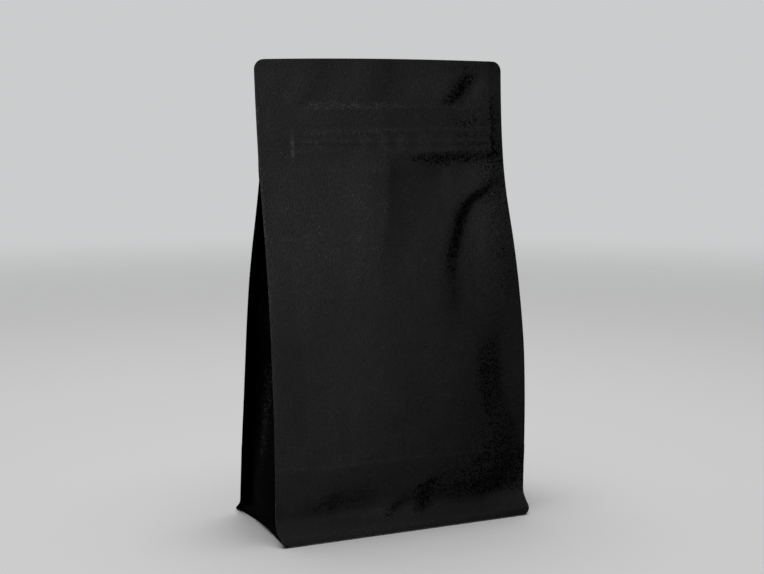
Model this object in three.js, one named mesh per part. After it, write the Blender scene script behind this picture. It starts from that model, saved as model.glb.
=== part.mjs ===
// A filled, shut box pouch of stiff dark paper, in millimetres: flat front and back panels with narrow edge
// seams, side panels folded in between them, a flat base with splayed foot seams, and a pressed zip below a
// flat header. The shut pouch is one closed solid. X runs across the front panel, +Y is towards the back,
// +Z is up, and the origin is the middle of the base.

import * as THREE from 'three';

// ---- Driving dimensions ----

const WIDTH = 140; // across the edge seams at the foot
const HEIGHT = 239; // base to the middle of the top edge
const FOOT_DEPTH = 73; // over the splayed foot seams
const TOP_NARROWING = 1.7; // the top edge is this much shorter than the foot

const SEAM_WIDTH = 5; // flat seam down each upright edge
const SEAM_THICKNESS = 0.8;
const HEADER_THICKNESS = 1.4; // front and back pressed together
const SHUT_HEIGHT = 183; // the side panels are folded shut above this
const SHUT_GAP = 0.8; // left between the seams at that height

const TOP_CORNERS = [5, 4]; // radii of both panels' upper corners, left and right
const TOP_CROWN = 0.9; // the top edge is lower by this much at its corners

// The foot seam of each panel splays out below its start, and stands upright below its end.
// Its corners are the radii of the panel's lower corners, left and right.
const FRONT_FOOT = { start: 12, end: 4.2, corners: [6.5, 4] };
const BACK_FOOT = { start: 8, end: 0.5, corners: [1.5, 1.5] };
const FOOT_CURL = 2; // power of the splay
const FOOT_SPREAD = 2.8; // the side panels' lower corners stand out by this much more

// ---- Upright profiles, as [height, value] ----

// Front and back panel at their edge seams: Y
const FRONT_EDGE = [
  [40, -29.4], [60, -29], [80, -27.6], [97, -25.9], [112, -23.7], [128, -20.7], [145, -16.7],
  [158, -13.1], [170, -9.9], [184, -7.1], [200, -4.9], [217, -3.1], [234, -1.7],
];
const BACK_EDGE = [
  [0, 28.6], [12, 27.5], [23, 26.2], [46, 22.8], [63, 19.8], [84, 16], [106, 12.9],
  [127, 9.2], [143, 5.1], [158, 0.6], [169, -2.6], [180, -6],
];

// The upper pouch is turned about its height: how far its right edges stand behind its middle, and its left
// edges in front of it
const PANEL_TURN = [[0, 0.4], [60, 0], [85, -0.6], [112, 0], [145, 1.4], [170, 2.8], [184, 3], [234, 2]];

// How far the middle of each panel stands out from its edges
const FRONT_BULGE = [[12, 0], [25, 2], [37, 2.8], [60, 4.2], [90, 4.8], [120, 4], [150, 2], [178, 0]];
const BACK_BULGE = [[12, 0], [30, 2.5], [60, 4.5], [95, 5], [130, 3.5], [160, 1.2], [178, 0]];

// How far the middle of a side panel is folded in from its seams. It swells out near the foot.
const SIDE_FOLD = [
  [0, 2.5], [6, -0.5], [15, -3.4], [28, -2.6], [43, -0.8], [56, 0.8], [69, 2.3],
  [82, 3.8], [100, 9], [120, 17], [140, 24.5], [160, 27.5], [SHUT_HEIGHT, 28.5],
];
const SIDE_ROUND_BELOW = 35; // the side panel's section is round below this height
const SIDE_SHARP_ABOVE = 85; // and a sharp fold above this one

// ---- Raised and folded lines of the front panel ----

const ZIP_BOTTOM = 192.3;
const ZIP_TOP = 203.2;
const ZIP_RISE = 0.7; // the zip stands out from each face by this much
const ZIP_GROOVE_HEIGHT = 197.4;
const ZIP_GROOVE_DEPTH = 0.35;
const TEAR_LINE_HEIGHT = 215.6;
const TEAR_LINE_RISE = 0.5;

// Points are [X, Z]. A positive depth sinks in and a negative one stands out.
const FOLDS = [
  // The main fold, from the right seam down
  {
    points: [[63, 175], [52, 168.5], [43, 162.7], [37.5, 155], [34.5, 146], [30.5, 135], [30, 118]],
    reach: 7,
    depth: 1.8,
  },
  // The ridge beside it
  { points: [[51, 163], [45, 157], [42, 146], [38, 131], [34, 116]], reach: 6, depth: -0.7 },
  // An upright ridge under the zip
  { points: [[2.6, 188], [0.8, 180], [-3.2, 155], [-7, 143]], reach: 8, depth: -0.9 },
  // A fold in the header
  { points: [[46, 236], [46, 228], [41, 220]], reach: 6, depth: 0.8 },
  // A dent above the foot
  { points: [[-60, 17], [-40, 26], [-22, 27]], reach: 9, depth: 1.1 },
];

// ---- Grid of the surface ----

const FRONT_COLUMNS = [
  -1, -0.93, -0.86, -0.77, -0.68, -0.59, -0.5, -0.41, -0.32, -0.23, -0.14, -0.08, -0.03, 0.02, 0.08, 0.16,
  0.24, 0.32, 0.39, 0.45, 0.5, 0.55, 0.6, 0.65, 0.7, 0.75, 0.8, 0.86, 0.93, 1,
];
const BACK_COLUMNS = [
  1, 0.93, 0.8, 0.66, 0.52, 0.39, 0.26, 0.13, 0, -0.13, -0.26, -0.39, -0.52, -0.66, -0.8, -0.93, -1,
];
const SIDE_STEPS = 10; // along a side panel, from its front seam to its back seam
const FOOT_LEVELS = [0, 0.5, 1.2, 2, 3, 4.2, 5.2, 6.5, 8, 10];
const BODY_LEVELS = [
  12, 15, 20, 26, 32, 37, 43, 50, 58, 66, 74, 82, 90, 98, 106, 114, 121, 128, 134, 140, 146, 152,
  158, 163, 168, 173, 178, SHUT_HEIGHT,
];
const HEADER_LEVELS = [
  SHUT_HEIGHT, 187, 191.3, 192.3, 194.5, 196.4, 197.4, 198.4, 201, 203.2, 204.2, 209, 213, 214.3,
  215.6, 216.9, 219, 224, 229,
];
const CORNER_STEPS = 4; // round the upper corners

const { clamp, lerp, smoothstep } = THREE.MathUtils;

// A smooth curve through [height, value] pairs that never swings past them.
function through(pairs, height) {
  const last = pairs.length - 1;
  const at = clamp(height, pairs[0][0], pairs[last][0]);
  let k = 0;
  while (k < last - 1 && at > pairs[k + 1][0]) k += 1;
  const slope = (i) => (pairs[i + 1][1] - pairs[i][1]) / (pairs[i + 1][0] - pairs[i][0]);
  const tangent = (i) => {
    if (i === 0) return slope(0);
    if (i === last) return slope(last - 1);
    const before = slope(i - 1);
    const after = slope(i);
    return before * after <= 0 ? 0 : (2 * before * after) / (before + after);
  };
  const span = pairs[k + 1][0] - pairs[k][0];
  const t = (at - pairs[k][0]) / span;
  const rise = t * t * (3 - 2 * t);
  return (
    lerp(pairs[k][1], pairs[k + 1][1], rise) +
    span * t * (1 - t) * (tangent(k) * (1 - t) - tangent(k + 1) * t)
  );
}

// 1 between two heights, with soft ends outside them.
function band(height, bottom, top, soft) {
  return smoothstep(height, bottom - soft, bottom) * (1 - smoothstep(height, top, top + soft));
}

// 1 on a line through the points, falling smoothly to 0 at the given reach.
function nearLine(points, x, z, reach) {
  let nearest = reach;
  for (let i = 0; i + 1 < points.length; i += 1) {
    const [x0, z0] = points[i];
    const dx = points[i + 1][0] - x0;
    const dz = points[i + 1][1] - z0;
    const t = clamp(((x - x0) * dx + (z - z0) * dz) / (dx * dx + dz * dz), 0, 1);
    nearest = Math.min(nearest, Math.hypot(x - x0 - t * dx, z - z0 - t * dz));
  }
  return 1 - smoothstep(nearest, 0, reach);
}

// How far a rounded corner stands back from a straight edge, at a distance from the panel's end.
function cornerInset(radius, distance) {
  const into = Math.max(0, radius - distance);
  return radius - Math.sqrt(radius ** 2 - into ** 2);
}

// Half the width of the panels before their corners are rounded.
function halfWidth(z) {
  const above = clamp((z - FRONT_FOOT.start) / (HEIGHT - FRONT_FOOT.start), 0, 1);
  return (WIDTH - TOP_NARROWING * above) / 2;
}

// X of a panel's edge on the left (-1) or right (1), with its rounded corners.
function panelEdge(side, z, foot) {
  const corner = side < 0 ? 0 : 1;
  const inset = cornerInset(TOP_CORNERS[corner], HEIGHT - z) + cornerInset(foot.corners[corner], z);
  return side * (halfWidth(z) - inset);
}

// 1 on the upright strip of a foot seam and 0 from the start of its splay.
function splay(z, foot) {
  return clamp((foot.start - z) / (foot.start - foot.end), 0, 1) ** FOOT_CURL;
}

// Y added at a point of a panel by the turn of the upper pouch.
function turnAt(x, z) {
  return (through(PANEL_TURN, z) * x) / (WIDTH / 2);
}

// 1 in the middle of a panel and 0 on its edge seams.
function pillow(x) {
  return Math.max(0, 1 - (x / (WIDTH / 2 - SEAM_WIDTH)) ** 2);
}

// 1 between the edge seams and 0 on them.
function betweenSeams(x) {
  return 1 - smoothstep(Math.abs(x), WIDTH / 2 - 3 * SEAM_WIDTH, WIDTH / 2 - SEAM_WIDTH);
}

// The zip's rise out of each face, which dies away where the edge seams squash it.
function zipRise(x, z) {
  return ZIP_RISE * betweenSeams(x) * band(z, ZIP_BOTTOM, ZIP_TOP, 1);
}

// How far the front panel's lines and folds sink in.
function frontRelief(x, z) {
  const groove = ZIP_GROOVE_DEPTH * band(z, ZIP_GROOVE_HEIGHT, ZIP_GROOVE_HEIGHT, 1);
  const tearLine = TEAR_LINE_RISE * band(z, TEAR_LINE_HEIGHT, TEAR_LINE_HEIGHT, 1.5);
  let depth = betweenSeams(x) * (groove - tearLine) - zipRise(x, z);
  for (const fold of FOLDS) depth += fold.depth * nearLine(fold.points, x, z, fold.reach);
  return depth;
}

// The front panel before its foot seam splays.
function frontBody(x, z) {
  return through(FRONT_EDGE, z) + turnAt(x, z) - through(FRONT_BULGE, z) * pillow(x) + frontRelief(x, z);
}

function frontSurface(x, z) {
  return lerp(frontBody(x, z), -FOOT_DEPTH / 2, splay(z, FRONT_FOOT));
}

// Front to back through the pressed layers. The lowest of them still hold the ends of the side folds.
function pressedThickness(x, z) {
  const folded = 2 * SEAM_THICKNESS + SHUT_GAP;
  const header = smoothstep(z, SHUT_HEIGHT, ZIP_BOTTOM);
  return lerp(folded, HEADER_THICKNESS, header) + 2 * zipRise(x, z);
}

// The back panel before its foot seam splays: full behind the contents, then pressed on the front panel.
function backBody(x, z) {
  const full = through(BACK_EDGE, z) + turnAt(x, z) + through(BACK_BULGE, z) * pillow(x);
  return Math.max(full, frontBody(x, z) + pressedThickness(x, z));
}

function backSurface(x, z) {
  return lerp(backBody(x, z), FOOT_DEPTH / 2, splay(z, BACK_FOOT));
}

// ---- Sections ----

// A point of the section, lowered towards the corners of the crowned top edge.
function placed(x, y, z) {
  const lowered = TOP_CROWN * (x / (WIDTH / 2)) ** 2 * smoothstep(z, SHUT_HEIGHT, HEIGHT);
  return new THREE.Vector3(x, y, z - lowered);
}

// One side, from the front seam's outer corner to the back seam's: the seam, the folded side panel, the seam.
function sideWithFold(side, z) {
  const frontTip = panelEdge(side, z, FRONT_FOOT);
  const backTip = panelEdge(side, z, BACK_FOOT);
  const root = halfWidth(z) - SEAM_WIDTH + FOOT_SPREAD * splay(z, FRONT_FOOT);
  const sharp = smoothstep(z, SIDE_ROUND_BELOW, SIDE_SHARP_ABOVE);
  const points = [placed(frontTip, frontSurface(frontTip, z) + SEAM_THICKNESS, z)];
  for (let i = 0; i <= SIDE_STEPS; i += 1) {
    const s = i / SIDE_STEPS;
    const inward = lerp(Math.sin(Math.PI * s), 1 - Math.abs(2 * s - 1), sharp);
    const x = side * (root - through(SIDE_FOLD, z) * inward);
    points.push(placed(x, lerp(frontBody(x, z) + SEAM_THICKNESS, backBody(x, z) - SEAM_THICKNESS, s), z));
  }
  points.push(placed(backTip, backSurface(backTip, z) - SEAM_THICKNESS, z));
  return points;
}

// One side above the folds: the edge of the two pressed panels.
function sideEdge(side, z) {
  const tip = panelEdge(side, z, FRONT_FOOT);
  const skin = lerp(SEAM_THICKNESS, HEADER_THICKNESS / 3, smoothstep(z, SHUT_HEIGHT, ZIP_BOTTOM));
  return [placed(tip, frontBody(tip, z) + skin, z), placed(tip, backBody(tip, z) - skin, z)];
}

// The points of a panel at the given columns, each a share of its reach to the left or right edge.
function panelRow(columns, z, foot, surface) {
  return columns.map((u) => {
    const x = Math.abs(u) * panelEdge(Math.sign(u), z, foot);
    return placed(x, surface(x, z), z);
  });
}

// A whole section, counterclockwise seen from above.
function section(z, side) {
  const front = panelRow(FRONT_COLUMNS, z, FRONT_FOOT, frontSurface);
  const back = panelRow(BACK_COLUMNS, z, BACK_FOOT, backSurface);
  return [...front, ...side(1, z), ...back, ...side(-1, z).reverse()];
}

// ---- Surface ----

const triangles = [];

function addTriangle(a, b, c) {
  triangles.push(...a.toArray(), ...b.toArray(), ...c.toArray());
}

// Joins sections of equal length, each quad split along its shorter diagonal.
function addWalls(sections) {
  for (let row = 0; row + 1 < sections.length; row += 1) {
    const lower = sections[row];
    const upper = sections[row + 1];
    for (let i = 0; i < lower.length; i += 1) {
      const j = (i + 1) % lower.length;
      if (lower[i].distanceTo(upper[j]) < lower[j].distanceTo(upper[i])) {
        addTriangle(lower[i], lower[j], upper[j]);
        addTriangle(lower[i], upper[j], upper[i]);
      } else {
        addTriangle(lower[i], lower[j], upper[i]);
        addTriangle(lower[j], upper[j], upper[i]);
      }
    }
  }
}

// Fills an outline, facing up or down.
function addCap(outline, facesUp) {
  for (const [a, b, c] of THREE.ShapeUtils.triangulateShape(outline, [])) {
    if (facesUp) addTriangle(outline[a], outline[b], outline[c]);
    else addTriangle(outline[a], outline[c], outline[b]);
  }
}

// Heights up to the top edge, closer together towards the end of the rounded corners.
function topLevels() {
  const reach = Math.max(...TOP_CORNERS);
  const levels = [];
  for (let i = 0; i <= CORNER_STEPS; i += 1) {
    levels.push(HEIGHT - reach * (1 - Math.sin((i / CORNER_STEPS) * (Math.PI / 2))));
  }
  return levels;
}

function buildPouch() {
  const body = [...FOOT_LEVELS, ...BODY_LEVELS].map((z) => section(z, sideWithFold));
  const header = [...HEADER_LEVELS, ...topLevels()].map((z) => section(z, sideEdge));
  addWalls(body);
  addWalls(header);
  addCap(body[0], false);
  addCap(header[header.length - 1], true);
  addCap(sideWithFold(1, SHUT_HEIGHT), false);
  addCap(sideWithFold(-1, SHUT_HEIGHT), false);

  const geometry = new THREE.BufferGeometry();
  geometry.setAttribute('position', new THREE.Float32BufferAttribute(triangles, 3));
  geometry.computeVertexNormals();
  const paper = new THREE.MeshStandardMaterial({ color: 0x1d1c1c, roughness: 0.72, metalness: 0 });
  const mesh = new THREE.Mesh(geometry, paper);
  mesh.name = 'pouch';
  return mesh;
}

const boxPouch = new THREE.Group();
boxPouch.add(buildPouch());

export default boxPouch;
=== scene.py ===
import math

import bpy
import numpy as np
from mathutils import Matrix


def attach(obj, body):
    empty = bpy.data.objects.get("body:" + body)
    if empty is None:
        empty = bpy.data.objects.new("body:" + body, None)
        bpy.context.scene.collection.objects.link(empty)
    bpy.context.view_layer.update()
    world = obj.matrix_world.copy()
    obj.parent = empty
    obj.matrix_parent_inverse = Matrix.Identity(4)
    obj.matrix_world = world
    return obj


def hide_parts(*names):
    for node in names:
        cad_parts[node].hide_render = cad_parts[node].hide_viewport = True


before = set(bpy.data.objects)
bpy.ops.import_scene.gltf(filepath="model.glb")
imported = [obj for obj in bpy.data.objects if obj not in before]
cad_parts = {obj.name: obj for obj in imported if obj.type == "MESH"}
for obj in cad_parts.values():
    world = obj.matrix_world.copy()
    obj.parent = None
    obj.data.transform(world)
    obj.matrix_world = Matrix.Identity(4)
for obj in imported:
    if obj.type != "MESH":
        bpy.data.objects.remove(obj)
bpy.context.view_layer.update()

# The pouch is built in millimetres, as its paper is cut, folded and sealed, and put into the scene in metres.
# X runs across the front panel, +Y is towards the back and Z is the height above the floor.
MM = 0.001

# ---- Sizes ----

WIDTH = 140.0
HEIGHT = 239.0
FOOT_DEPTH = 73.0  # front to back, over the foot's seams
FOOT_SPREAD = 2.8  # the side panels' lower corners stand out by this much more
TOP_NARROWING = 1.7  # the pouch is this much narrower at its top edge
NARROWS_ABOVE = 12.0
TOP_CORNERS = (5.0, 5.2)  # radii, left and right
TOP_CROWN = 0.9  # the top edge is lower by this much at its ends
RIGHT_TRIM = 0.5  # the front and back panels reach out by this much more on the right
SEAM_WIDTH = 5.0
PAPER = 0.35
SEAM = 2 * PAPER
HEADER = 4 * PAPER + 0.06  # the header's pressed layers, front to back
SHUT_HEIGHT = 183.0  # the front and back panels meet here
SHUT_GAP = 0.8  # between the side panels' folded layers where they meet
FLAT_ABOVE = 192.0  # and all the layers are pressed flat from here up

# Each panel's foot: how far it has splayed by height, how much higher that starts by place, and its lower corners
FRONT_FOOT = {
    "splay": ((0, 1), (2.4, 0.95), (4.4, 0.86), (6, 0.6), (8, 0.3), (10, 0.1), (12, 0.02), (13.5, 0)),
    "lift": ((-70, 0), (-40, -0.6), (-5, -2.2), (20, -2.6), (45, -2), (60, -0.4), (70, 0.2)),
    "corners": (7.5, 4.5),
}
BACK_FOOT = {
    "splay": ((0, 1), (0.5, 0.98), (2, 0.7), (4, 0.34), (6, 0.08), (8, 0)),
    "lift": ((-70, 0), (70, 0)),
    "corners": (1.5, 1.5),
}

# Upright profiles, as (height, value). The edges are where the panels' seams run, front to back. The turn is how far
# back a panel stands at its right seam, the bulges how far its middle stands out, and the fold how far the side
# panels go in.
FRONT_EDGE = (
    (40, -29.4), (60, -29), (80, -27.6), (97, -25.9), (112, -23.7), (128, -20.7), (145, -16.7),
    (158, -13.1), (170, -9.9), (184, -7.1), (200, -4.9), (217, -3.1), (234, -1.7),
)
BACK_EDGE = (
    (0, 28.6), (12, 27.5), (23, 26.2), (46, 22.8), (63, 19.8), (84, 16), (106, 12.9),
    (127, 9.2), (143, 5.1), (158, 0.6), (169, -2.6), (180, -6),
)
PANEL_TURN = ((0, 0.4), (60, 0), (85, -0.6), (112, 0), (145, 1.4), (170, 2.8), (184, 3), (234, 2))
FRONT_BULGE = ((12, 0), (25, 2), (37, 2.6), (60, 3.5), (90, 3.9), (120, 3.7), (150, 2), (178, 0))
BACK_BULGE = ((12, 0), (30, 2.5), (60, 4.5), (95, 5), (130, 3.5), (160, 1.2), (178, 0))
SIDE_FOLD = (
    (0, 2.5), (6, -0.5), (15, -3.4), (28, -2.6), (43, -0.8), (56, 0.8), (69, 2.3),
    (82, 3.8), (100, 9), (120, 17), (140, 24.5), (160, 27.5), (183, 28.5),
)
SIDE_ROUND_BELOW = 35.0  # the side panels' fold is a round hollow up to here
SIDE_SHARP_ABOVE = 85.0  # and a sharp crease from here up

SEAL_HEIGHT = 37.4  # of the pressed line above the foot, in the middle
SEAL_SLOPE = 0.011  # it falls by this much for each mm to the right
FOOT_HOLLOW = ((4, 0), (9, 0.9), (14, 1.0), (24, 0.5), (36, 0))  # how far the panels draw in above their feet

# Seeds of the noise. The crumple uses four from its seed on.
FRONT_SEED, BACK_SEED, SIDE_SEED, SWELL_SEED, BASE_SEED, BLOTCH_SEED, CREASE_HIGHLIGHT_SEED = 11, 47, 71, 83, 5, 21, 61
NOISE_CELLS = (97, 89)  # before the noise repeats
NOISE_START = (40.3, 11.7)  # where the pouch's origin lies in it

# ---- Curves and noise ----


def through(pairs, at):
    """A smooth curve through (place, value) pairs that never swings past them."""
    pairs = np.asarray(pairs, float)
    places, values = pairs[:, 0], pairs[:, 1]
    slopes = np.diff(values) / np.diff(places)
    tangents = np.zeros(len(places))
    tangents[0], tangents[-1] = slopes[0], slopes[-1]
    for i in range(1, len(slopes)):
        before, after = slopes[i - 1], slopes[i]
        tangents[i] = 0.0 if before * after <= 0 else 2 * before * after / (before + after)
    at = np.clip(at, places[0], places[-1])
    k = np.clip(np.searchsorted(places, at) - 1, 0, len(slopes) - 1)
    span = places[k + 1] - places[k]
    t = (at - places[k]) / span
    rise = t * t * (3 - 2 * t)
    bend = tangents[k] * (1 - t) - tangents[k + 1] * t
    return values[k] + (values[k + 1] - values[k]) * rise + span * t * (1 - t) * bend


def smoothstep(value, low, high):
    t = np.clip((value - low) / (high - low), 0.0, 1.0)
    return t * t * (3 - 2 * t)


def between(value, low, high, soft):
    """1 between two places and 0 outside them, with soft ends."""
    return smoothstep(value, low - soft, low + soft) * (1 - smoothstep(value, high - soft, high + soft))


def mix(a, b, share):
    return a + (b - a) * share


def soft_noise(x, z, size, seed):
    """Smooth seeded noise from -1 to 1, with features about as large as the given size."""
    lattice = np.random.default_rng(seed).uniform(-1, 1, NOISE_CELLS)
    u, v = x / size + NOISE_START[0], z / size + NOISE_START[1]
    i, j = np.floor(u).astype(int), np.floor(v).astype(int)
    s, t = u - i, v - j
    s, t = s**3 * (s * (6 * s - 15) + 10), t**3 * (t * (6 * t - 15) + 10)
    pick = lambda a, b: lattice[a % NOISE_CELLS[0], b % NOISE_CELLS[1]]
    lower = mix(pick(i, j), pick(i + 1, j), s)
    upper = mix(pick(i, j + 1), pick(i + 1, j + 1), s)
    return mix(lower, upper, t)


def upright(x, z, line, profile, strength):
    """Depth of a fold that runs up and down. Line gives its x at each height, strength its share at each height,
    and profile its depth by distance from the line, positive to the right."""
    return through(profile, x - through(line, z)) * through(strength, z)


def level(x, z, line, profile, strength):
    """Depth of a fold that runs across. Line gives its height at each x, strength its share at each x, and
    profile its depth by distance from the line, positive above it."""
    return through(profile, z - through(line, x)) * through(strength, x)


# ---- Folds of the panels ----
# A positive depth sinks into the pouch.

FRONT_FOLDS = (
    # The main fold, from the right seam down: a full side on its left falls steeply to a pushed-in side
    (upright,
     ((100, 30), (117, 30.6), (126, 30.8), (135, 32.4), (146, 36.4), (155, 40.5),
      (163, 45.5), (168.5, 53), (172.5, 59), (182, 76)),
     ((-60, 0), (-34, -0.8), (-17, -2.1), (-10, -2.4), (-6.5, -2.0), (3.5, 2.0),
      (5.8, 2.3), (10, 2.2), (18, 1.5), (28, 0.7), (40, 0.2), (50, 0)),
     ((94, 0), (112, 0.25), (126, 0.6), (140, 0.95), (152, 1.15), (164, 1.1), (174, 0.6), (182, 0))),
    # The upright edge under the zip, and the panel's turn to the right of it
    (upright,
     ((140, -8), (155, -3.2), (168, -0.7), (180, 0.8), (192, 2.6)),
     ((-66, 0), (-30, -1.8), (-9, -3.4), (-3.5, -3.5), (3, -2.3), (10, -1.1), (36, 1.5), (66, 0)),
     ((118, 0), (150, 0.7), (168, 1), (182, 1), (187, 0.6), (192, 0.1))),
    # A pinch beside it
    (upright,
     ((170, 33.5), (176, 34.5), (183, 37), (190, 42)),
     ((-11, 0), (-4, 0.3), (2, -0.35), (9, 0)),
     ((170, 0), (178, 0.8), (184, 0.7), (188, 0))),
    # The pressed strip under the zip overhangs the panel on the right
    (level,
     ((0, 190.2), (70, 189.3)),
     ((-15, 0), (-6, 0.9), (-3, 0.9), (2, -0.5), (5, -0.5), (12, 0)),
     ((0, 0), (14, 0.5), (30, 0.8), (56, 1.1), (68, 0.9))),
    # Two waves and the dent of the header
    (upright,
     ((210, -49), (221, -38), (229, -33), (239, -30)),
     ((-18, 0), (-6, -0.4), (0, 0), (6, 0.3), (18, 0)),
     ((213, 0), (222, 1), (230, 0.8), (239, 0.2))),
    (upright,
     ((210, -12), (223, -3), (231, 1), (239, 2)),
     ((-18, 0), (-8, -0.35), (0, 0), (7, 0.35), (22, 0)),
     ((212, 0), (219, 0.8), (232, 1), (239, 0.8))),
    (upright,
     ((212, 33), (217, 39), (221, 43), (226, 46.2), (231, 47.5), (239, 47)),
     ((-30, 0), (-16, -0.9), (-8.5, -1.5), (-3.5, -1.0), (3.5, 1.7), (7.5, 2.1), (14, 1.2), (22, 0.5)),
     ((213, 0), (219, 0.6), (225, 1), (229, 0.75), (233, 0.25), (239, 0.05))),
    # The shallow valley down the right
    (upright,
     ((26, 64), (40, 60), (52, 56), (64, 52), (76, 49), (90, 48.5), (108, 50)),
     ((-38, 0), (-18, -1.1), (-11, -1.2), (0, 0.5), (9, 2.1), (14, 2.1), (24, 0.8)),
     ((24, 0.2), (40, 0.4), (56, 0.65), (74, 1), (90, 0.7), (112, 0))),
    # The panel lies flatter down its left side
    (upright,
     ((0, -70), (240, -70)),
     ((0, 0), (8, 1.0), (18, 1.8), (32, 2.0), (60, 0.9), (90, 0)),
     ((40, 0.2), (58, 0.8), (75, 1), (100, 0.9), (120, 0.5), (150, 0.2), (180, 0))),
    # The dent above the left of the foot
    (level,
     ((-70, 12), (-52, 21), (-44, 24.5), (-34, 29.5), (-20, 31), (-8, 29)),
     ((-26, 1.3), (-19, 1.6), (-14, 1.4), (0, -0.2), (5, -0.3), (14, 0)),
     ((-68, 0), (-52, 0.7), (-34, 1), (-18, 0.9), (-4, 0))),
    # Two short creases at the foot
    (upright,
     ((2, -12), (9.8, -6.4), (18, -1)),
     ((-14, 0), (-5, -0.25), (4.5, 0.4), (15, 0)),
     ((5, 0), (9, 1), (12, 1), (18, 0))),
    (upright,
     ((2, 6), (13, 11), (19, 11), (28, 15)),
     ((-15, 0), (-4.5, -0.25), (4.5, 0.45), (17, 0)),
     ((4, 0), (9, 1), (18, 1), (28, 0))),
    # The hollow above the right of the foot
    (level,
     ((4, 13.5), (24, 13), (36, 14.5), (46, 18), (58, 24), (70, 29)),
     ((-30, 0.8), (-20, 3.1), (-13, 3.4), (0, 0.7), (9, -0.7), (18, -1.0), (42, 0)),
     ((0, 0), (24, 0.28), (40, 0.46), (58, 0.62), (70, 0.6))),
)

# The seam strip down the panel's right side bends back from the panel
RIGHT_SEAM_FOLD = (
    upright,
    ((0, 62.5), (240, 62.5)),
    ((-14, 0), (-5, -0.35), (-1, -0.3), (2, 0.2), (8, 1.1)),
    ((90, 0), (120, 0.3), (160, 0.5), (190, 0.9), (206, 1), (226, 0.8), (240, 0.5)),
)

# How far the header stands out from its flat, by height: the tear line, and the zip with the pressed strip below it
TEAR_LINE = ((203, 0), (207, 0.3), (214.2, 0.55), (215.8, 0.12), (218, 0))
ZIP_TRACK = (
    (186, 0), (189, 0.12), (191.5, 0.52), (193, 0.64), (194.6, 0.30), (195.8, 0.28), (197.4, 0.64),
    (199.2, 0.28), (200.8, 0.30), (202.4, 0.64), (204.8, 0), (206, 0),
)
ZIP_ENDS = (-51.3, 62.9)
TEAR_ENDS = (-45, 37)
ZIP_DROP = 0.014  # the zip's lower half falls by this much for each mm to the right


def held(x):
    """1 on the middle of a panel, falling to 0 where its seams hold it."""
    return 1 - np.clip(np.abs(2 * x / WIDTH), 0, 1) ** 8


def in_from_seams(x, reach):
    """1 on the middle of a panel and 0 on its edge seams. Reach is how far from them it starts to fall."""
    return 1 - smoothstep(np.abs(x), WIDTH / 2 - SEAM_WIDTH - reach, WIDTH / 2 - SEAM_WIDTH)


def zip_and_tear_line(x, z):
    """How far the zip and the tear line stand out. The zip's top ridge is faint on the left, and its track ripples
    to the right of the middle."""
    drop = ZIP_DROP * (x + 50) * (1 - smoothstep(z, 190, 203))
    fade = mix(1.0, 0.35 + 0.65 * smoothstep(x, -48, -22), smoothstep(z, 200.4, 202))
    left, right = ZIP_ENDS
    pressed_in = smoothstep(x, left - 1.5, left + 1) * (1 - smoothstep(x, right - 0.5, right + 0.5))
    track = through(ZIP_TRACK, z + drop) * pressed_in * fade
    wave = np.sin(x * 0.52 + 1.3 + 0.8 * np.sin(0.13 * x))
    ripple = 0.15 * wave * between(x, -15, 40, 10) * between(z, 193, 201, 1.5)
    tear = through(TEAR_LINE, z) * mix(0.35, 1.0, between(x, *TEAR_ENDS, 5))
    return track + ripple + tear * in_from_seams(x, 4)


def seal_line(x, z):
    """The pressed line above the foot: the paper stands out a little more below it."""
    at = SEAL_HEIGHT - SEAL_SLOPE * x
    return 0.26 * (1 - smoothstep(z, at - 0.5, at + 0.5)) * smoothstep(z, at - 12, at - 2)


def crumple(x, z, seed):
    """The stiff paper's slight unevenness: soft swells and small flat facets."""
    turned_x, turned_z = 0.8 * x - 0.6 * z, 0.6 * x + 0.8 * z
    swells = 0.22 * soft_noise(x, z, 21, seed) + 0.07 * soft_noise(turned_x, turned_z, 8, seed + 1)
    return swells + 0.016 * soft_noise(turned_x, z, 3.3, seed + 2) + 0.008 * soft_noise(x, turned_z, 1.7, seed + 3)


def panel_crumple(x, z, seed):
    """The crumple of a panel, which its seams hold flatter."""
    return crumple(x, z, seed) * mix(0.25, 1.0, in_from_seams(x, 12))


def front_relief(x, z):
    """How far the front panel's lines and folds sink in."""
    depth = -zip_and_tear_line(x, z) - seal_line(x, z)
    for way, line, profile, strength in FRONT_FOLDS:
        depth = depth + way(x, z, line, profile, strength) * held(x)
    way, line, profile, strength = RIGHT_SEAM_FOLD
    depth = depth + way(x, z, line, profile, strength)
    depth = depth + through(FOOT_HOLLOW, z) * mix(0.5, 1.0, smoothstep(x, -30, 50)) * held(x)
    return depth + panel_crumple(x, z, FRONT_SEED)


BACK_FOLDS = (
    (upright,
     ((112, -40), (128, -41), (146, -40), (160, -44), (170, -52), (178, -66)),
     ((-30, 0), (-12, 2.2), (-6, 3.2), (-3, 2.9), (0, 1.0), (4, -0.6), (16, 0)),
     ((104, 0), (128, 0.6), (150, 1), (166, 1), (180, 0))),
    (upright,
     ((138, 33), (158, 38), (172, 37), (186, 40)),
     ((-20, 0), (-5, -0.5), (0, 0.8), (4, 1.5), (12, 0.6), (24, 0)),
     ((132, 0), (152, 1), (172, 0.8), (188, 0))),
    (upright,
     ((44, 60), (58, 54), (74, 51), (94, 55)),
     ((-18, 0), (-8, -0.4), (0, 0.6), (6, 1.6), (12, 1.0), (22, 0)),
     ((36, 0), (54, 1), (78, 1), (98, 0))),
    (level,
     ((24, 33), (44, 25), (64, 16)),
     ((-20, 0.2), (-12, 1.0), (-6, 1.0), (0, -0.3), (8, 0)),
     ((18, 0), (34, 1), (52, 0.9), (64, 0))),
)


def back_relief(x, z):
    """How far the back panel's lines and folds stand out."""
    height = seal_line(x, z)
    for way, line, profile, strength in BACK_FOLDS:
        height = height - way(x, z, line, profile, strength) * held(x)
    return height - through(FOOT_HOLLOW, z) * held(x) - panel_crumple(x, z, BACK_SEED)


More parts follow.
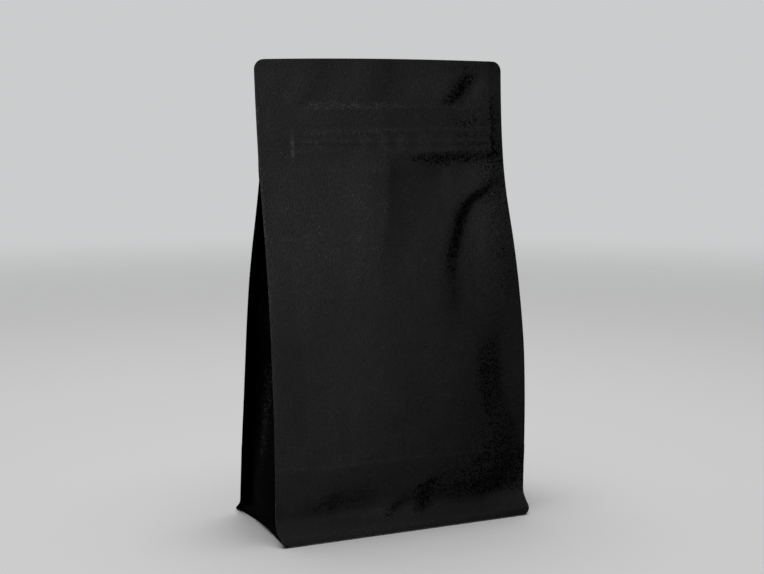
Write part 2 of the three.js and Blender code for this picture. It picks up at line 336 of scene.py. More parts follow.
# ---- The pouch's surfaces ----


def half_width(z):
    """Half the width of the panels before their corners are rounded."""
    share = np.clip((z - NARROWS_ABOVE) / (HEIGHT - NARROWS_ABOVE), 0, 1)
    return (WIDTH - TOP_NARROWING * share) / 2


def corner_inset(radius, distance):
    """How far a rounded corner stands back from a straight edge, at a distance from the edge's end."""
    into = np.clip(radius - distance, 0, radius)
    return radius - np.sqrt(radius**2 - into**2)


def panel_edge(side, z, foot):
    """x of a panel's edge on the left (-1) or right (1), with its rounded corners."""
    corner = 0 if side < 0 else 1
    inset = corner_inset(TOP_CORNERS[corner], HEIGHT - z) + corner_inset(foot["corners"][corner], z)
    trim = RIGHT_TRIM * smoothstep(z, 4, 60) if side > 0 else 0
    return side * (half_width(z) + trim - inset)


def splay(x, z, foot):
    """How far a panel has left the body for its foot's outer edge, from 0 to 1."""
    lift = through(foot["lift"], x) * smoothstep(z, 1, 7)
    return through(foot["splay"], z - lift)


def turn_at(x, z):
    """How far back a panel stands because it is turned about its middle."""
    return through(PANEL_TURN, z) * x / (WIDTH / 2)


def pillow(x):
    """1 in the middle of a panel, falling to 0 at its edges."""
    return np.clip(1 - (2 * x / WIDTH) ** 2, 0, None)


def front_body(x, z):
    shape = through(FRONT_EDGE, z) + turn_at(x, z) - through(FRONT_BULGE, z) * pillow(x)
    return shape + front_relief(x, z)


def front_surface(x, z):
    return mix(front_body(x, z), -FOOT_DEPTH / 2, splay(x, z, FRONT_FOOT))


def pressed(z):
    """Front to back through the pressed layers."""
    return mix(2 * SEAM + SHUT_GAP, HEADER, smoothstep(z, SHUT_HEIGHT, FLAT_ABOVE))


def back_body(x, z):
    full = through(BACK_EDGE, z) + turn_at(x, z) + through(BACK_BULGE, z) * pillow(x) + back_relief(x, z)
    ridges = zip_and_tear_line(x, z)
    flat_front = front_body(x, z) + ridges
    layers = pressed(z) + ridges
    return np.maximum(full, flat_front + layers)


def back_surface(x, z):
    return mix(back_body(x, z), FOOT_DEPTH / 2, splay(x, z, BACK_FOOT))


def crowned(x, z):
    """The height of a point once the top edge is lowered towards its corners."""
    return z - TOP_CROWN * (x / (WIDTH / 2)) ** 2 * smoothstep(z, SHUT_HEIGHT, HEIGHT)


FINE_ROWS_BELOW = 14.0  # rows are half a millimetre apart up to here, and a step apart above it


def heights(top_radius, foot_radius, step):
    """Rows from the floor to the top edge, closer together at the foot, in the header and round the corners."""
    turns = np.sin(np.linspace(0, math.pi / 2, 9))
    foot = foot_radius * (1 - turns[::-1])
    top = HEIGHT - top_radius * (1 - turns)
    fine_foot = np.arange(foot_radius + 0.5, FINE_ROWS_BELOW, 0.5)
    body = np.arange(FINE_ROWS_BELOW, SHUT_HEIGHT, step)
    header = np.arange(SHUT_HEIGHT, HEIGHT - top_radius - 0.3, step * 0.75)
    return np.unique(np.concatenate([foot, fine_foot, body, header, top]).round(4))


def panel_grid(surface, foot, columns, step):
    """Points of a panel's outer face, row by row from the floor up. Columns are shares of the panel's half width,
    in the order in which they are seen from outside."""
    z = heights(max(TOP_CORNERS), max(foot["corners"]), step)[:, None]
    u = columns[None, :]
    x = np.where(u < 0, -u * panel_edge(-1, z, foot), u * panel_edge(1, z, foot))
    zz = np.broadcast_to(z, x.shape)
    return np.stack([x, surface(x, zz), crowned(x, zz)], -1)


def side_root(z):
    """Distance from the middle at which a side panel leaves its front seam."""
    return half_width(z) - SEAM_WIDTH + FOOT_SPREAD * splay(-WIDTH / 2, z, FRONT_FOOT)


def corner_height(x, foot):
    """Height of a panel's lower edge at x: it rises round the corners."""
    return corner_inset(np.where(x < 0, *foot["corners"]), WIDTH / 2 - np.abs(x))


SIDE_EDGE_ROWS = 1.5  # the side panels' rows are finer up to here
SIDE_TOP = 0.4  # and end this far below the top edge
SIDE_REACH = 50.0  # width of the opened side panel, for its noise
CORNER_FADE = 10.0  # the rise of the front panel's corner fades out up to here


def side_grid(side, rows, steps):
    """Points of a side panel's outer face: its front seam, the folded panel and its back seam."""
    level_rows = heights(max(TOP_CORNERS), SIDE_EDGE_ROWS, rows)
    level_rows = level_rows[level_rows < HEIGHT - SIDE_TOP]
    corner = corner_height(side * side_root(0.0), FRONT_FOOT)
    columns = []

    def column(x, y, z):
        columns.append(np.stack([x, y, crowned(x, z)], -1))

    def lifted(share):
        """Heights of a column whose foot rises by a share of the front panel's corner."""
        return level_rows + corner * share * np.clip(1 - level_rows / CORNER_FADE, 0, 1)

    # The front seam, from its edge in
    for s in np.linspace(0, 0.85, 5):
        z = lifted(1.0)
        x = side * mix(side * panel_edge(side, z, FRONT_FOOT), side_root(z), s)
        column(x, front_surface(x, z) + SEAM, z)
    # The folded panel, from front to back. It is uneven where nothing presses it, and its front half follows the
    # front panel's foot.
    for s in np.linspace(0, 1, steps):
        z = lifted(1 - smoothstep(s, 0, 0.25))
        inward = mix(np.sin(math.pi * s), 1 - abs(2 * s - 1), smoothstep(z, SIDE_ROUND_BELOW, SIDE_SHARP_ABOVE))
        x = side * (side_root(z) - through(SIDE_FOLD, z) * inward)
        along = np.full_like(z, SIDE_REACH * s)
        loose = 1 - smoothstep(z, 150, 175)
        swell = 0.5 * soft_noise(along, z, 19, SWELL_SEED + side) * smoothstep(z, 8, 30) * loose
        uneven = crumple(along, z, SIDE_SEED + side) * smoothstep(z, 4, 20) * loose
        x = x - side * (swell + 0.6 * uneven) * math.sin(math.pi * s)
        front = front_surface(x, z) if s < 0.5 else front_body(x, z)
        column(x, mix(mix(front_body(x, z), front, 1 - s), back_body(x, z), s) + SEAM * (1 - 2 * s), z)
    # The back seam, out to its edge
    z = level_rows
    for s in np.linspace(0.15, 1, 5):
        x = side * mix(side_root(z), side * panel_edge(side, z, BACK_FOOT), s)
        column(x, back_surface(x, z) - SEAM, z)
    grid = np.stack(columns, 1)
    return grid[:, ::-1] if side < 0 else grid


BASE_COLUMNS, BASE_ROWS = 90, 60
BASE_ARCH = 1.6  # the middle of the base stands this far off the floor
FLOOR_GAP = 0.05


def base_grid():
    """Points of the base panel's outer face, between the foot seams."""
    across = np.linspace(-1, 1, BASE_COLUMNS)[:, None]
    s = np.linspace(0, 1, BASE_ROWS)[None, :]
    fold = through(SIDE_FOLD, 0.0) * np.sin(math.pi * s)
    x = across * (side_root(0.0) - fold - PAPER)
    y = (2 * s - 1) * (FOOT_DEPTH / 2 - PAPER - 0.1) + 0 * x
    arch = (1 - np.abs(across) ** 6) * (1 - np.abs(2 * s - 1) ** 6)
    z = FLOOR_GAP + BASE_ARCH * arch + 0.12 * soft_noise(x, y, 12, BASE_SEED) * arch
    return np.stack([x, y, z + corner_height(x, FRONT_FOOT) * (1 - smoothstep(s, 0, 0.25))], -1)


# ---- Meshes ----


def grid_normals(grid):
    """Unit normals of a grid's points, towards the outside."""
    along = np.gradient(grid, axis=1)
    up = np.gradient(grid, axis=0)
    normals = np.cross(along, up)
    return normals / np.maximum(np.linalg.norm(normals, axis=-1, keepdims=True), 1e-9)


FULL_WEAR_AND_HIGHLIGHT = 0.05  # where a point stands out by this much, its wear and painted highlight are full
RIDGE_WEAR_AND_HIGHLIGHT_SHARE = 0.12  # how much of the wear and painted highlight comes from that alone
SHARP_TURN = 50  # degrees between faces, from which an edge isn't shaded smooth


def ridge_wear_and_highlight(grid, normals):
    """How much each point stands out from its surroundings, where handling rubs the paper and a highlight is
    painted.
    """
    middle = grid.copy()
    for _ in range(3):
        padded = np.pad(middle, ((1, 1), (1, 1), (0, 0)), mode="edge")
        middle = (padded[:-2, 1:-1] + padded[2:, 1:-1] + padded[1:-1, :-2] + padded[1:-1, 2:]) / 4
    out = ((grid - middle) * normals).sum(-1)
    return np.clip(out / FULL_WEAR_AND_HIGHLIGHT, 0, 1)


def sheet(name, grid, paper, wear_and_highlight_marks=0.0, worn_rows=0, **marks):
    """A closed sheet of paper with its outer face on the grid. Its cut edges have their own material, and so do the
    lowest rows of its outer face where the wear goes through it. Marks are further values for the material."""
    rows, columns = grid.shape[:2]
    normals = grid_normals(grid)
    inner = grid - normals * PAPER
    points = np.concatenate([grid.reshape(-1, 3), inner.reshape(-1, 3)]) * MM
    index = np.arange(rows * columns).reshape(rows, columns)
    below = index + rows * columns
    quads = lambda a: np.stack([a[:-1, :-1], a[:-1, 1:], a[1:, 1:], a[1:, :-1]], -1).reshape(-1, 4)
    rim = []
    for outer, under in (
        (index[0], below[0]), (index[:, -1], below[:, -1]),
        (index[-1, ::-1], below[-1, ::-1]), (index[::-1, 0], below[::-1, 0]),
    ):
        rim.append(np.stack([outer[:-1], under[:-1], under[1:], outer[1:]], -1))
    rim = np.concatenate(rim)
    faces = np.concatenate([quads(index), quads(below)[:, ::-1], rim])
    mesh = bpy.data.meshes.new(name)
    mesh.from_pydata(points.tolist(), [], faces.tolist())
    mesh.materials.append(paper)
    mesh.materials.append(CUT_EDGE)
    edge_faces = np.arange(len(faces)) >= len(faces) - len(rim)
    edge_faces[:worn_rows * (columns - 1)] = True
    mesh.polygons.foreach_set("material_index", edge_faces.astype(np.int32))
    mesh.polygons.foreach_set("use_smooth", np.ones(len(faces), bool))
    marks = {"wear_and_highlight": np.clip(RIDGE_WEAR_AND_HIGHLIGHT_SHARE * ridge_wear_and_highlight(grid, normals) + wear_and_highlight_marks, 0, 2), **marks}
    for key, values in marks.items():
        layer = mesh.attributes.new(key, "FLOAT", "POINT")
        layer.data.foreach_set("value", np.tile(values.ravel(), 2).astype(np.float32))
    mesh.set_sharp_from_angle(angle=math.radians(SHARP_TURN))
    mesh.update()
    piece = bpy.data.objects.new(name, mesh)
    bpy.context.scene.collection.objects.link(piece)
    return piece


def front_wear_and_highlights(grid):
    """Where the front panel's paper is paler: its edges, partly the pale cut paper and partly a painted highlight,
    and painted highlights on the tear line, the zip and in patches of the upper left. The pale slit at the zip's
    left end and the tick above it are drawn the same way."""
    x, z = grid[..., 0], grid[..., 2]
    u, v = 0.8 * x - 0.6 * z, 0.6 * x + 0.8 * z
    patches = soft_noise(u, v, 7, BLOTCH_SEED) + 0.6 * soft_noise(x, z, 3.1, BLOTCH_SEED + 1)
    blotches = smoothstep(patches, 0.0, 0.9)
    # The tear line's and the zip ridges' pale lines are painted highlights.
    tear_left = 0.6 * between(x, -43, 8, 9) * between(z, 214, 217.5, 1.2)
    tear_right = 0.25 * between(x, 8, 42, 8) * between(z, 214.3, 216.2, 0.8)
    tear = tear_left + tear_right
    ridges = 0.35 * between(z, 200.8, 203.2, 0.8) + 0.25 * between(z, 196.8, 198.2, 0.6)
    zip_ridges = between(x, -49, 0, 8) * ridges
    # Painted highlight: pale flecks where the upper left is lit.
    upper_left = between(x, -66, -2, 14) * between(z, 118, 192, 14) * (0.05 + 0.13 * blotches)
    slit = 0.85 * between(x, -51.15, -50.7, 0.1) * between(z, 194.0, 201.2, 0.6)
    tick_line = through(((203, -52.5), (208.5, -54.1)), z)
    tick = 0.4 * np.exp(-(((x - tick_line) / 0.5) ** 2)) * between(z, 203, 208.5, 1)
    # The pale edges are partly the cut paper and partly a painted highlight.
    on_left_edge = x < -half_width(z) + 0.9
    left_edge = on_left_edge * (0.35 + 0.6 * blotches) * smoothstep(z, 85, 125) * (1 - smoothstep(z, 205, 225))
    low_edge = (z < 0.9) * (0.4 + 0.6 * blotches) * smoothstep(x, -60, 40)
    pressed_lines = (tear + zip_ridges) * (0.5 + 0.5 * blotches)
    haze = 0.07 * between(x, -32, 4, 8) * between(z, 188, 214, 5)
    return left_edge + low_edge + pressed_lines + upper_left + slit + tick + haze


# Short creases whose far side lies in shade, painted as black pocks, two at the foot and one under the zip: line as
# (height, x), lowest, highest, half width and share
SHADED_CREASES = (
    (((2, -12), (9.8, -6.4), (18, -1)), 6, 13, 3.4, 0.5),
    (((2, 7), (13, 11), (19, 12), (28, 15)), 7, 24, 5.0, 0.5),
    (((183, 36.5), (189, 35.5)), 184, 187.5, 1.6, 0.6),
)
SLOPE_REACH = 3.2  # the slopes of the folds are taken over this much to each side
FRONT_LEAN = 0.09  # the front panel leans back by about this much for each mm of height
SHADE_FROM, SHADE_RANGE = 0.10, 0.52  # slopes at which the folds' shade begins, and how much more makes it full


def front_hollows(x, z):
    """How far each point of the front panel lies in shade, from 0 to 1: painted shade, coarse black grain there."""
    reach = SLOPE_REACH
    to_right = (front_surface(x + reach, z) - front_surface(x - reach, z)) / (2 * reach)
    upward = (front_surface(x, z + reach) - front_surface(x, z - reach)) / (2 * reach) - FRONT_LEAN
    folds = np.clip((to_right - 0.6 * upward - SHADE_FROM) / SHADE_RANGE, 0, 1)
    right_of_panel = 0.13 * between(x, 30, 62, 20)
    right_of_header = 0.2 * between(x, 40, 61.5, 14)
    right_part = mix(right_of_panel, right_of_header, smoothstep(z, 170, 195))
    long_edge = 0.17 * smoothstep(x, 48, 62) * between(z, 115, 190, 12)
    top_of_edge = 0.08 * smoothstep(x, 50, 60) * between(z, 162, 192, 6)
    right_edge = long_edge + top_of_edge
    lower_right = 0.14 * smoothstep(x, -10, 42) * (1 - smoothstep(z, 34, 90)) * smoothstep(z, 8, 14)
    corner = 0.25 * smoothstep(x, 50, 60) * between(z, 11, 36, 4)
    under_zip = 0.27 * between(x, 16, 66, 12) * between(z, 186, 191, 2.5)
    zip_lines = between(z, 204, 208.5, 1) + between(z, 198.8, 200.6, 0.6) + between(z, 194.2, 195.8, 0.6)
    seam = 0.3 * between(x, 61.6, 64.4, 0.8) * between(z, 201, 221, 5)
    shade = folds + right_part + right_edge + lower_right + corner + under_zip + seam
    shade = shade + 0.12 * zip_lines * between(x, 25, 61, 14)
    for line, low, high, width, share in SHADED_CREASES:
        shade = shade + share * np.exp(-(((x - through(line, z)) / width) ** 2)) * between(z, low, high, 2)
    return np.clip(shade, 0, 1)


BLACK_SPECKS = ((11.7, 93.9, 0.75), (-30.5, 35.0, 0.55))  # x, height and size
# The slit at the zip's right end: painted shade
SLIT_PAINTED_SHADE = ((190.7, 62.9), (196, 62.7), (199.2, 61.6))


def black_spots(x, z):
    """Two small dark specks on the front panel, and painted shade in the slit at the right end of the zip."""
    spots = 0
    for at_x, at_z, size in BLACK_SPECKS:
        spots = spots + (1 - smoothstep(np.hypot(x - at_x, z - at_z), 0.3 * size, size + 0.35))
    slit = 1 - smoothstep(np.abs(x - through(SLIT_PAINTED_SHADE, z)), 0.3, 0.9)
    return spots + slit * between(z, 190.7, 199.4, 0.5)


def left_side_painted_highlight(grid):
    """A painted highlight along the left side panel's middle crease, in ragged patches of pale flecks."""
    y, z = grid[..., 1], grid[..., 2]
    band = through(((27, 0.5), (52, 0), (82, -1.5)), z) + 1.3 * soft_noise(0 * z, z, 9, CREASE_HIGHLIGHT_SEED)
    ragged = 0.5 + 0.5 * soft_noise(y, z, 3.2, CREASE_HIGHLIGHT_SEED + 1) + 0.4 * soft_noise(y, z, 8, CREASE_HIGHLIGHT_SEED + 2)
    width = through(((24, 1.5), (40, 4.4), (62, 6.2), (80, 6), (96, 2)), z)
    across = np.exp(-(((y - band) / width) ** 2))
    return np.clip(across * between(z, 34, 84, 13) * (0.4 + 0.65 * ragged), 0, 1)


# ---- Materials ----


def node(tree, kind, inputs=None, **settings):
    """A new node. Its inputs are given values or linked to sockets."""
    made = tree.nodes.new(kind)
    for key, value in settings.items():
        setattr(made, key, value)
    for key, value in (inputs or {}).items():
        if isinstance(value, bpy.types.NodeSocket):
            tree.links.new(value, made.inputs[key])
        else:
            made.inputs[key].default_value = value
    return made


def maths(tree, operation, *values):
    return node(tree, "ShaderNodeMath", dict(enumerate(values)), operation=operation).outputs[0]


def ramp(tree, value, low, high, to_low=0.0, to_high=1.0):
    """Eases a value from one range into another."""
    made = node(tree, "ShaderNodeMapRange", {
        "Value": value, "From Min": low, "From Max": high, "To Min": to_low, "To Max": to_high,
    }, interpolation_type="SMOOTHSTEP")
    return made.outputs["Result"]


def noise(tree, coordinates, scale, detail=2.0, roughness=0.5):
    made = node(tree, "ShaderNodeTexNoise", {
        "Vector": coordinates, "Scale": scale, "Detail": detail, "Roughness": roughness,
    })
    return made.outputs["Fac"]


GRAIN_INPUTS = {
    "Mottle": 0.2, "Cloud": 0.08, "Flecks": 0.5, "Wear And Highlight": 0.0, "Painted Shade": 0.0, "Black": 0.0, "Depth Scale": 1.0,
}
GRAIN_OUTPUTS = ("Tone", "Height", "Fleck Mask", "Black Mask")

# Noise cells to the metre
GRAIN_CELLS = 1300
FIBRE_CELLS = 1500
CLOUD_CELLS = 95
POCK_CELLS = 1120
PATCH_CELLS = 330
FLECK_CELLS = 1400

ALONG_FIBRE, ACROSS_FIBRE = 0.35, 1.4  # how far the fibres' noise is stretched and squeezed
POCK_CROWDING = 0.17  # how much more of the paper the black pocks of painted shade cover in full shade
FLECK_CROWDING = 0.15  # how much more of it the pale flecks cover where its wear and painted highlight are full
DARKEST = 0.02  # the least tone between the pits


def paper_grain_group():
    """The mottled grain of dark kraft paper: its tone, the height of its fibres, its pale flecks, which gather where
    it shows wear and where highlights are painted, and its black pocks, which are painted shade where it lies in
    shade."""
    tree = bpy.data.node_groups.new("paper_grain", "ShaderNodeTree")
    for name, value in GRAIN_INPUTS.items():
        made = tree.interface.new_socket(name=name, in_out="INPUT", socket_type="NodeSocketFloat")
        made.default_value = value
    for name in GRAIN_OUTPUTS:
        tree.interface.new_socket(name=name, in_out="OUTPUT", socket_type="NodeSocketFloat")
    given = node(tree, "NodeGroupInput").outputs
    stretch = node(tree, "ShaderNodeCombineXYZ", {"X": 1.0, "Y": given["Depth Scale"], "Z": 1.0}).outputs[0]
    place = node(tree, "ShaderNodeVectorMath", {
        0: node(tree, "ShaderNodeTexCoord").outputs["Object"], 1: stretch,
    }, operation="MULTIPLY").outputs[0]
    lying = node(tree, "ShaderNodeMapping", {"Vector": place, "Scale": (ALONG_FIBRE, 1, ACROSS_FIBRE)}).outputs[0]
    standing = node(tree, "ShaderNodeMapping", {"Vector": place, "Scale": (ACROSS_FIBRE, 1, ALONG_FIBRE)}).outputs[0]
    grain = noise(tree, place, GRAIN_CELLS)
    fibres = maths(tree, "MAXIMUM", noise(tree, lying, FIBRE_CELLS), noise(tree, standing, FIBRE_CELLS))
    # Tone
    cloud = noise(tree, place, CLOUD_CELLS, 3.0, 0.55)
    pits = ramp(tree, noise(tree, place, GRAIN_CELLS, 2.0, 0.6), 0.38, 0.54, 1.0, 0.0)
    threads = maths(tree, "SUBTRACT", fibres, 0.58)
    centred = maths(tree, "SUBTRACT", maths(tree, "ADD", threads, 0.4), pits)
    mottle = maths(tree, "MULTIPLY", centred, given["Mottle"])
    clouds = maths(tree, "MULTIPLY", maths(tree, "SUBTRACT", cloud, 0.5), given["Cloud"])
    tone = maths(tree, "MAXIMUM", maths(tree, "ADD", 1.0, maths(tree, "ADD", mottle, clouds)), DARKEST)
    # Black pocks: painted shade
    shaded = maths(tree, "MULTIPLY", given["Painted Shade"], POCK_CROWDING)
    crowding = maths(tree, "ADD", noise(tree, place, POCK_CELLS, 1.0), shaded)
    pocks = maths(tree, "MULTIPLY", ramp(tree, crowding, 0.59, 0.622), ramp(tree, given["Painted Shade"], 0.0, 0.4))
    black = maths(tree, "MAXIMUM", pocks, given["Black"])
    tone = maths(tree, "MULTIPLY", tone, maths(tree, "SUBTRACT", 1.0, black))
    # Pale flecks
    patches = ramp(tree, noise(tree, place, PATCH_CELLS), 0.5, 0.66)
    share = maths(tree, "ADD", maths(tree, "MULTIPLY", patches, given["Flecks"]), given["Wear And Highlight"])
    gathering = maths(tree, "ADD", noise(tree, place, FLECK_CELLS), maths(tree, "MULTIPLY", share, FLECK_CROWDING))
    flecks = maths(tree, "MULTIPLY", ramp(tree, gathering, 0.62, 0.69), ramp(tree, share, 0.0, 0.25))
    height = maths(tree, "ADD", maths(tree, "MULTIPLY", grain, 0.8), maths(tree, "MULTIPLY", fibres, 0.2))
    node(tree, "NodeGroupOutput", {"Tone": tone, "Height": height, "Fleck Mask": flecks, "Black Mask": black})
    return tree


FIBRE_ROUGHNESS = 0.16  # raised fibres are smoother than the paper between them by this much
POCK_ROUGHNESS = 0.36  # in the black pocks
BUMP_DISTANCE = 0.0003  # metres


def paper_material(name, colour, fleck_colour, grain_values, wear_and_highlight, roughness, specular, bump):
    """Dark paper: grain from the shared group, with more pale flecks where it shows wear and where highlights are
    painted, and coarser and blacker where it lies in shade, which is painted shade."""
    material = bpy.data.materials.new(name)
    material.use_nodes = True
    tree = material.node_tree
    shader = tree.nodes["Principled BSDF"]
    mark = lambda kind: node(tree, "ShaderNodeAttribute", attribute_name=kind).outputs["Fac"]
    grained = node(tree, "ShaderNodeGroup", node_tree=GRAIN)
    for key, value in grain_values.items():
        grained.inputs[key].default_value = value
    tree.links.new(maths(tree, "MULTIPLY", mark("wear_and_highlight"), wear_and_highlight), grained.inputs["Wear And Highlight"])
    hollow = mark("hollow")
    tree.links.new(hollow, grained.inputs["Painted Shade"])
    tree.links.new(mark("black"), grained.inputs["Black"])
    # The painted shade also makes the grain's mottle and height coarser.
    coarse = maths(tree, "ADD", 1.0, hollow)
    tree.links.new(maths(tree, "MULTIPLY", coarse, grain_values["Mottle"]), grained.inputs["Mottle"])
    toned = node(tree, "ShaderNodeVectorMath", {0: colour, "Scale": grained.outputs["Tone"]}, operation="SCALE")
    blend = node(tree, "ShaderNodeMix", {"Factor": grained.outputs["Fleck Mask"]}, data_type="RGBA")
    tree.links.new(toned.outputs[0], blend.inputs["A"])
    blend.inputs["B"].default_value = (*fleck_colour, 1)
    tree.links.new(blend.outputs["Result"], shader.inputs["Base Color"])
    smoother = maths(tree, "MULTIPLY", grained.outputs["Height"], FIBRE_ROUGHNESS)
    rough = maths(tree, "SUBTRACT", roughness + FIBRE_ROUGHNESS / 2, smoother)
    in_pocks = maths(tree, "MULTIPLY", grained.outputs["Black Mask"], roughness - POCK_ROUGHNESS)
    tree.links.new(maths(tree, "SUBTRACT", rough, in_pocks), shader.inputs["Roughness"])
    height = maths(tree, "MULTIPLY", grained.outputs["Height"], coarse)
    raised = node(tree, "ShaderNodeBump", {"Height": height, "Strength": bump, "Distance": BUMP_DISTANCE})
    tree.links.new(raised.outputs["Normal"], shader.inputs["Normal"])
    shader.inputs["Specular IOR Level"].default_value = specular
    return material


GRAIN = paper_grain_group()
# The pale fleck colour serves the paper's own flecks and the painted highlights on its ridges and edges.
BLACK_PAPER = paper_material(
    "black_paper", (0.0088, 0.0088, 0.0089), (0.030, 0.0297, 0.0292),
    {"Mottle": 0.6, "Cloud": 0.25, "Flecks": 0.14, "Depth Scale": 1.0},
    wear_and_highlight=0.9, roughness=0.56, specular=0.17, bump=1.1,
)
# The side panels' paper is the black paper painted darker for the shade they lie in. Its pale fleck colour paints
# the highlight on the left panel's crease.
SHADED_SIDE_PAPER = paper_material(
    "side_paper_painted_shade", (0.0022, 0.0022, 0.0022), (0.16, 0.158, 0.156),
    {"Mottle": 0.6, "Cloud": 0.3, "Flecks": 0.0, "Depth Scale": 0.6},
    wear_and_highlight=0.9, roughness=0.38, specular=0.10, bump=0.6,
)
CUT_EDGE = paper_material(
    "cut_edge", (0.055, 0.053, 0.051), (0.15, 0.138, 0.127),
    {"Mottle": 0.6, "Cloud": 0.6, "Flecks": 0.9, "Depth Scale": 1.0},
    wear_and_highlight=0.0, roughness=0.85, specular=0.1, bump=0.5,
)

# ---- Pieces ----

# The front panel's columns stand closer together at the two ends of its zip. Its half width there is 69.3 mm on
# the left and 69.8 mm on the right.
LEFT_ZIP_END = np.arange(-51.9, -50.0, 0.2) / 69.3
RIGHT_ZIP_END = np.arange(60.9, 63.8, 0.25) / 69.8
FRONT_COLUMNS = np.unique(np.concatenate([np.linspace(-1, 1, 188), LEFT_ZIP_END, RIGHT_ZIP_END]))
BACK_COLUMNS = -np.linspace(-1, 1, 150)
FRONT_STEP, BACK_STEP, SIDE_STEP = 0.8, 1.0, 1.0  # between rows
SIDE_COLUMNS = 49

front = panel_grid(front_surface, FRONT_FOOT, FRONT_COLUMNS, FRONT_STEP)
front_x, front_z = front[..., 0], front[..., 2]
back = panel_grid(back_surface, BACK_FOOT, BACK_COLUMNS, BACK_STEP)
left_side, right_side = (side_grid(side, SIDE_STEP, SIDE_COLUMNS) for side in (-1, 1))
pieces = [
    sheet("front_panel", front, BLACK_PAPER, front_wear_and_highlights(front), worn_rows=2,
          hollow=front_hollows(front_x, front_z), black=black_spots(front_x, front_z)),
    sheet("back_panel", back, BLACK_PAPER),
    sheet("side_panel_left", left_side, SHADED_SIDE_PAPER, left_side_painted_highlight(left_side)),
    sheet("side_panel_right", right_side, SHADED_SIDE_PAPER),
    sheet("base_panel", base_grid(), BLACK_PAPER),
]
for piece in pieces:
    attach(piece, "root")
    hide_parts("pouch")

# ---- Floor, light and camera ----

FLOOR_REACH = 2.5  # metres
FLOOR_FADES = (0.5, 1.5)  # metres from the pouch
FLOOR_SEEN, FLOOR_THROWS = 0.8, 0.03  # how pale it is to the camera, and to the light that falls on it
BACKDROP_COLOUR = (0.60, 0.605, 0.61, 1)
BACKDROP_SEEN, BACKDROP_THROWS = 1.0, 0.018  # its strength to the camera, and as a light


def floor_material():
    """Pale floor that fades into the backdrop far away. It throws little light back at the pouch."""
    material = bpy.data.materials.new("pale_floor")
    material.use_nodes = True
    tree = material.node_tree
    shader = tree.nodes["Principled BSDF"]
    seen = node(tree, "ShaderNodeLightPath").outputs["Is Camera Ray"]
    tree.links.new(ramp(tree, seen, 0, 1, FLOOR_THROWS, FLOOR_SEEN), shader.inputs["Base Color"])
    shader.inputs["Roughness"].default_value = 0.6
    shader.inputs["Specular IOR Level"].default_value = 0.2
    place = node(tree, "ShaderNodeTexCoord").outputs["Object"]
    away = node(tree, "ShaderNodeVectorMath", {0: place}, operation="LENGTH").outputs["Value"]
    tree.links.new(ramp(tree, away, *FLOOR_FADES, 1.0, 0.0), shader.inputs["Alpha"])
    return material


def add_floor():
    mesh = bpy.data.meshes.new("floor")
    corners = [(x * FLOOR_REACH, y * FLOOR_REACH, 0) for x, y in ((-1, -1), (1, -1), (1, 1), (-1, 1))]
    mesh.from_pydata(corners, [], [(0, 1, 2, 3)])
    mesh.materials.append(floor_material())
    floor = bpy.data.objects.new("floor", mesh)
    bpy.context.scene.collection.objects.link(floor)
    return floor


def add_world():
    """A pale backdrop that lights the pouch only softly."""
    world = bpy.data.worlds.new("backdrop")
    world.use_nodes = True
    tree = world.node_tree
    tree.nodes.clear()
    seen = node(tree, "ShaderNodeLightPath").outputs["Is Camera Ray"]
    strength = ramp(tree, seen, 0, 1, BACKDROP_THROWS, BACKDROP_SEEN)
    pale = node(tree, "ShaderNodeBackground", {"Color": BACKDROP_COLOUR, "Strength": strength})
    node(tree, "ShaderNodeOutputWorld", {"Surface": pale.outputs[0]})
    bpy.context.scene.world = world


def add_light(name, place, aim, size, watts, lit, beam=None):
    """A lamp that lights only the things named: a spot if it has a beam, in degrees, or else a soft disk."""
    lamp = bpy.data.lights.new(name, "SPOT" if beam else "AREA")
    if beam:
        lamp.spot_size = math.radians(beam)
        lamp.spot_blend = 1.0
        lamp.shadow_soft_size = size / 2
    else:
        lamp.shape = "DISK"
        lamp.size = size
    lamp.energy = watts
    thing = bpy.data.objects.new(name, lamp)
    thing.location = place
    direction = np.array(aim) - np.array(place)
    flat = math.hypot(direction[0], direction[1])
    thing.rotation_euler = (math.atan2(flat, -direction[2]), 0, math.atan2(-direction[0], direction[1]))
    bpy.context.scene.collection.objects.link(thing)
    receivers = bpy.data.collections.new(f"lit_by_{name}")
    for receiver in lit:
        receivers.objects.link(receiver)
    thing.light_linking.receiver_collection = receivers


floor = add_floor()
add_world()

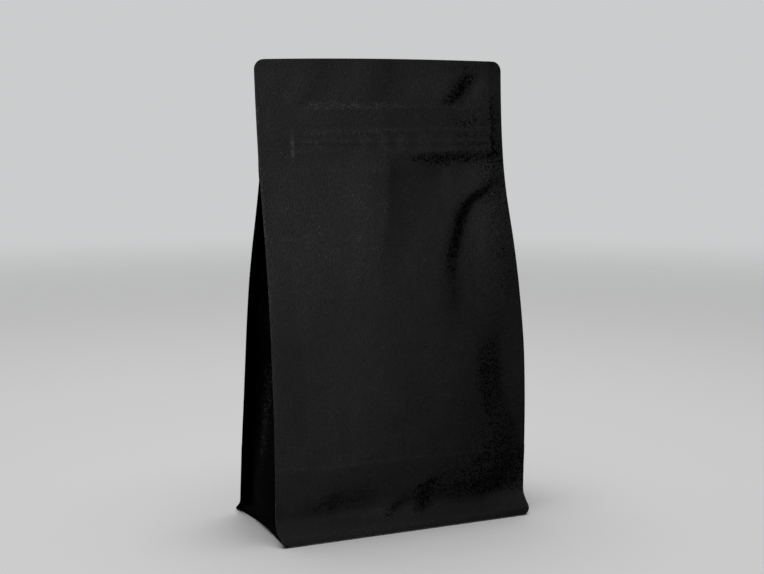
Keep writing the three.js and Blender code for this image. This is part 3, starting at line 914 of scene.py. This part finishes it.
back_panel = [piece for piece in pieces if piece.name == "back_panel"]
side_panels = [piece for piece in pieces if piece.name.startswith("side")]
other_panels = [piece for piece in pieces if piece not in side_panels]
SIDE_AIM, SIDE_LAMP = (0, 0, 0.1), 0.3  # where the side panels' lamps look, and how wide they are

# Places and sizes in metres. The side panels have lamps of their own, stronger on the right.
add_light("key", (-0.52, -0.56, 0.34), (-0.05, 0, 0.195), 0.12, 22.0, other_panels, beam=45)
add_light("overhead", (0.0, 0.1, 1.5), (0, 0.1, 0), 1.8, 24.0, [floor])
add_light("top", (0.0, -0.1, 1.5), (0, 0.0, 0), 1.2, 6.0, other_panels)
add_light("back", (0.5, 1.0, 0.8), (0, 0.04, 0.1), 0.5, 14.0, back_panel)
add_light("header_key", (-0.38, -0.65, 0.28), (-0.01, 0, 0.215), 0.10, 6.6, other_panels, beam=23)
add_light("foot_key", (-0.42, -0.63, 0.13), (-0.02, 0, 0.023), 0.10, 7.0, other_panels, beam=15)
add_light("left", (-0.95, 0.0, 0.30), SIDE_AIM, SIDE_LAMP, 0.30, side_panels)
add_light("left_front", (-0.66, -0.68, 0.35), SIDE_AIM, SIDE_LAMP, 0.20, side_panels)
add_light("right", (0.95, 0.0, 0.30), SIDE_AIM, SIDE_LAMP, 5.0, side_panels)
add_light("right_back", (0.66, 0.68, 0.40), SIDE_AIM, SIDE_LAMP, 5.0, side_panels)

# The camera that was fitted to the pouch's corners in the photograph
CAMERA_PLACE = (-0.28142, -0.64181, 0.22086)
LOOKS_DOWN, TURNED_RIGHT = 8.08, 23.70  # degrees
SENSOR_WIDTH, LENS = 36, 63.813

camera_data = bpy.data.cameras.new("camera")
camera_data.sensor_width = SENSOR_WIDTH
camera_data.lens = LENS
camera = bpy.data.objects.new("camera", camera_data)
camera.location = CAMERA_PLACE
camera.rotation_euler = (math.radians(90 - LOOKS_DOWN), 0, math.radians(-TURNED_RIGHT))
bpy.context.scene.collection.objects.link(camera)
bpy.context.scene.camera = camera
bpy.context.scene.view_settings.view_transform = "Standard"
